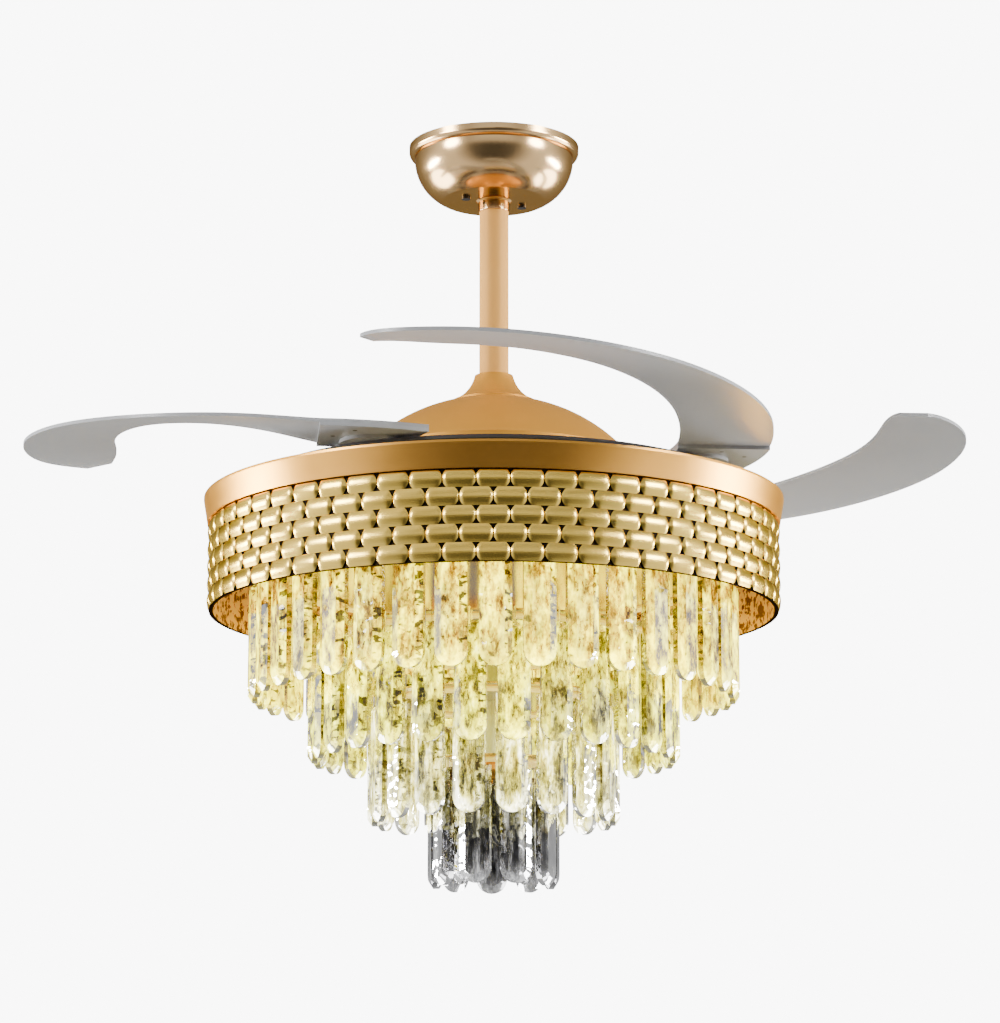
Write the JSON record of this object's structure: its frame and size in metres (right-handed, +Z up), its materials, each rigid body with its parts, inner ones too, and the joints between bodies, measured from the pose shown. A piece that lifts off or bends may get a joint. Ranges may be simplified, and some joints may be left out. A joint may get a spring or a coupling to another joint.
{
  "type": "chandelier ceiling fan",
  "caption": "Ceiling fan whose smoky crescent blades fold in over a patterned gold drum, with tiers of crystal bars hanging below and a warm lamp inside.",
  "frame": {"origin": "centre of the two ceiling bolt holes, on the ceiling plane", "axes": "+Z up into the ceiling, along the rod and motor axis; -Y towards the viewer of the picture"},
  "size_m": [0.8282, 0.8282, 0.6639],
  "materials": {
    "polished_gold": "polished",
    "satin_gold": "satin",
    "patterned_gold": "satin",
    "lined_gold": "satin",
    "smoked_acrylic": "clear gloss",
    "crystal": "polished",
    "bright_wire": "polished",
    "mirror_steel": "mirror polished",
    "zinc_steel": "brushed",
    "dark_steel": "matte",
    "dark_alloy": "black anodised",
    "grey_bracket": "clear gloss",
    "dark_screws": "semi-gloss",
    "black_nylon": "matte",
    "white_plastic": "matte",
    "lamp_boards": "matte",
    "white_paint": "white painted",
    "lamination": "matte",
    "copper": "enamelled",
    "magnet": "plated"
  },
  "bodies": {
    "ceiling_mount": {"ceiling_bracket": "zinc_steel", "canopy": "polished_gold", "canopy_screws": "dark_screws", "receiver_box": "white_plastic"},
    "hanging_lamp": {"hanger_ball": "black_nylon", "ball_cross_pin": "zinc_steel", "downrod": "satin_gold", "rod_collar": "polished_gold", "coupling": "zinc_steel", "coupling_bolt": "zinc_steel", "coupling_cover": "satin_gold", "motor_cover": "satin_gold", "cover_screws": "dark_screws", "motor_shaft": "zinc_steel", "stator_core": "lamination", "windings": "copper", "lamp_pan": "white_paint", "shaft_nut": "zinc_steel", "rim_trim": "satin_gold", "pattern_band": "patterned_gold", "drum_shell": "lined_gold", "drum_screws": "dark_screws", "center_tube": "zinc_steel", "spacer_tubes": "zinc_steel", "finial_nut": "satin_gold", "led_boards": "lamp_boards", "led_driver": "white_plastic", "tier_1_plate": "mirror_steel", "tier_1_crystals": "crystal", "tier_1_links": "bright_wire", "tier_2_plate": "mirror_steel", "tier_2_crystals": "crystal", "tier_2_links": "bright_wire", "tier_3_plate": "mirror_steel", "tier_3_crystals": "crystal", "tier_3_links": "bright_wire", "tier_4_plate": "mirror_steel", "tier_4_crystals": "crystal", "tier_4_links": "bright_wire"},
    "rotor": {"rotor_housing": "dark_steel", "magnets": "magnet", "upper_bearing": "zinc_steel", "lower_bearing": "zinc_steel", "carrier_disc": "dark_alloy", "pivot_pins": "zinc_steel", "rotor_screws": "dark_screws"},
    "sync_ring": {"sync_gear": "zinc_steel"},
    "blade_arm_1": {"blade_1": "smoked_acrylic", "blade_1_bracket": "grey_bracket", "blade_1_screws": "dark_screws"},
    "blade_arm_2": {"blade_2": "smoked_acrylic", "blade_2_bracket": "grey_bracket", "blade_2_screws": "dark_screws"},
    "blade_arm_3": {"blade_3": "smoked_acrylic", "blade_3_bracket": "grey_bracket", "blade_3_screws": "dark_screws"},
    "blade_arm_4": {"blade_4": "smoked_acrylic", "blade_4_bracket": "grey_bracket", "blade_4_screws": "dark_screws"}
  },
  "joints": [
    {"name": "ball_swing", "type": "hinge", "parent": "ceiling_mount", "child": "hanging_lamp", "pos_m": [0, 0, -0.026], "axis": [1, 0, 0], "range_deg": [-3.5, 3.5]},
    {"name": "fan_spin", "type": "hinge", "parent": "hanging_lamp", "child": "rotor", "pos_m": [0, 0, -0.3], "axis": [0, 0, 1], "continuous": true},
    {"name": "blade_1_fold", "type": "hinge", "parent": "rotor", "child": "blade_arm_1", "pos_m": [0.1725, -0.10121, -0.307], "axis": [0, 0, -1], "range_deg": [0, 48.4]},
    {"name": "blade_2_fold", "type": "hinge", "parent": "rotor", "child": "blade_arm_2", "pos_m": [0.10121, 0.1725, -0.307], "axis": [0, 0, -1], "range_deg": [0, 48.4]},
    {"name": "blade_3_fold", "type": "hinge", "parent": "rotor", "child": "blade_arm_3", "pos_m": [-0.1725, 0.10121, -0.307], "axis": [0, 0, -1], "range_deg": [0, 48.4]},
    {"name": "blade_4_fold", "type": "hinge", "parent": "rotor", "child": "blade_arm_4", "pos_m": [-0.10121, -0.1725, -0.307], "axis": [0, 0, -1], "range_deg": [0, 48.4]},
    {"name": "sync_turn", "type": "hinge", "parent": "rotor", "child": "sync_ring", "pos_m": [0, 0, -0.311], "axis": [0, 0, 1], "range_deg": [0, 9.3]}
  ],
  "couplings": [
    {"joint": "blade_2_fold", "follows": "blade_1_fold", "ratio": 1},
    {"joint": "blade_3_fold", "follows": "blade_1_fold", "ratio": 1},
    {"joint": "blade_4_fold", "follows": "blade_1_fold", "ratio": 1},
    {"joint": "sync_turn", "follows": "blade_1_fold", "ratio": 0.19048}
  ]
}
